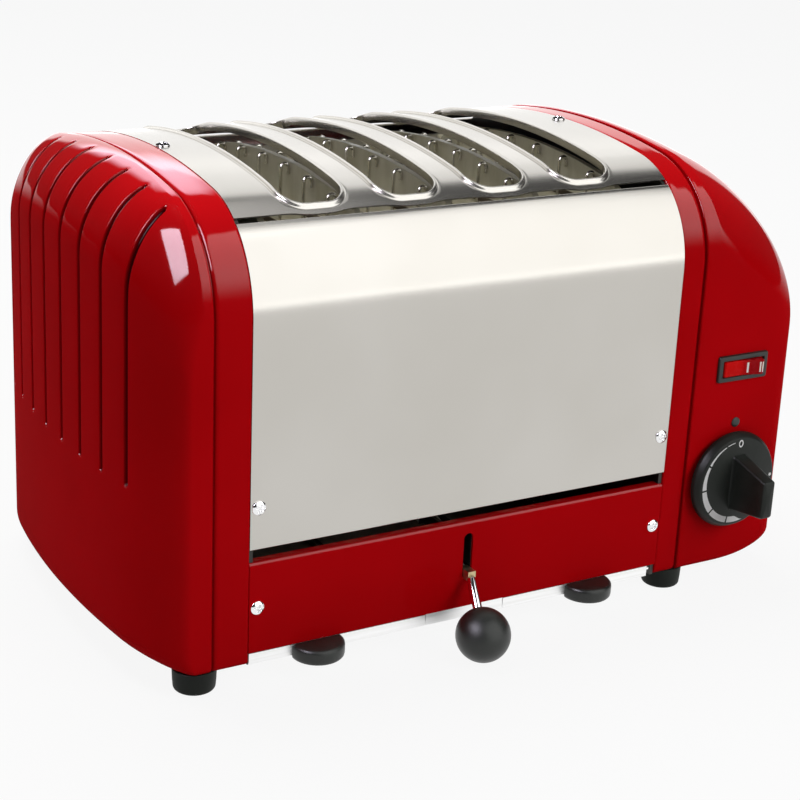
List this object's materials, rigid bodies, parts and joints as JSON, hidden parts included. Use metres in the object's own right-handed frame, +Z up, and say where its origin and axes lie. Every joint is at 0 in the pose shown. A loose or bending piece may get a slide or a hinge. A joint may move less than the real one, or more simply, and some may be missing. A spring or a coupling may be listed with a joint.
{
  "type": "toaster",
  "caption": "Lever toaster with bright steel body between domed red enamelled ends, timer dial, rocker switch, hand-lifted bread rack and pull-out crumb trays.",
  "frame": {"origin": "middle of the overall outline, at the height of the surface that the feet stand on", "axes": "+X along the body to the end with the controls, +Y from the front to the rear, +Z up"},
  "size_m": [0.3568, 0.2531, 0.2223],
  "materials": {
    "red_enamel": "gloss",
    "polished_steel": "polished",
    "plated_steel": "satin",
    "tray_steel": "satin",
    "black_rubber": "matte",
    "bright_chrome": "polished",
    "guard_wire": "bright",
    "mica": "satin",
    "heating_ribbon": "dull",
    "black_plastic": "satin",
    "brass": "satin",
    "red_plastic": "gloss",
    "terminal_ceramic": "gloss"
  },
  "bodies": {
    "body": {"left_end_casting": "red_enamel", "right_end_casting": "red_enamel", "front_panel": "polished_steel", "rear_panel": "polished_steel", "top_plate": "polished_steel", "front_base_rail": "red_enamel", "rear_base_rail": "red_enamel", "left_chassis_wall": "plated_steel", "right_chassis_wall": "plated_steel", "front_baffle": "plated_steel", "rear_baffle": "plated_steel", "foot_front_left": "black_rubber", "foot_front_right": "black_rubber", "foot_rear_left": "black_rubber", "foot_rear_right": "black_rubber", "panel_screws": "bright_chrome", "top_screws": "bright_chrome", "switch_housing": "black_plastic", "timer_body": "black_plastic", "timer_index": "black_plastic", "cord_gland": "black_plastic", "element_card_1": "mica", "element_card_2": "mica", "element_card_3": "mica", "element_card_4": "mica", "element_card_5": "mica", "element_ribbon_1": "heating_ribbon", "element_ribbon_2": "heating_ribbon", "element_ribbon_3": "heating_ribbon", "element_ribbon_4": "heating_ribbon", "element_ribbon_5": "heating_ribbon", "wire_guard_1": "guard_wire", "wire_guard_2": "guard_wire", "wire_guard_3": "guard_wire", "wire_guard_4": "guard_wire", "wire_guard_5": "guard_wire", "guide_posts": "bright_chrome", "lever_bracket": "plated_steel", "lever_pivot_pin": "bright_chrome", "terminal_block": "terminal_ceramic", "tray_runner_left": "plated_steel", "tray_runner_right": "plated_steel", "tray_runner_centre": "tray_steel"},
    "lever": {"lever_arm": "plated_steel", "lever_socket": "brass", "lever_rod": "bright_chrome", "lever_ball": "black_plastic"},
    "bread_rack": {"rack_crossbar": "plated_steel", "bread_support_1": "plated_steel", "bread_support_2": "plated_steel", "bread_support_3": "plated_steel", "bread_support_4": "plated_steel"},
    "timer_dial": {"timer_shaft": "bright_chrome", "timer_knob": "black_plastic"},
    "switch_key": {"switch_rocker": "red_plastic"},
    "tray_left": {"crumb_tray_left": "tray_steel", "tray_pull_left": "black_plastic"},
    "tray_right": {"crumb_tray_right": "tray_steel", "tray_pull_right": "black_plastic"}
  },
  "joints": [
    {"name": "lever_lift", "type": "hinge", "parent": "body", "child": "lever", "pos_m": [-0.016, -0.05995, 0.043], "axis": [-1, 0, 0], "range_deg": [0, 29]},
    {"name": "rack_lower", "type": "slide", "parent": "body", "child": "bread_rack", "axis": [0, 0, -1], "range_m": [0, 0.03647]},
    {"name": "timer_turn", "type": "hinge", "parent": "body", "child": "timer_dial", "pos_m": [0.136, -0.09075, 0.057], "axis": [0, 1, 0], "range_deg": [0, 280]},
    {"name": "switch_tip", "type": "hinge", "parent": "body", "child": "switch_key", "pos_m": [0.1375, -0.08645, 0.115], "axis": [0, 0, 1], "range_deg": [0, 14]},
    {"name": "tray_left_slide", "type": "slide", "parent": "body", "child": "tray_left", "axis": [0, -1, 0], "range_m": [0, 0.185]},
    {"name": "tray_right_slide", "type": "slide", "parent": "body", "child": "tray_right", "axis": [0, -1, 0], "range_m": [0, 0.185]}
  ],
  "couplings": [
    {"joint": "rack_lower", "follows": "lever_lift", "m_per_rad": 0.072021}
  ]
}
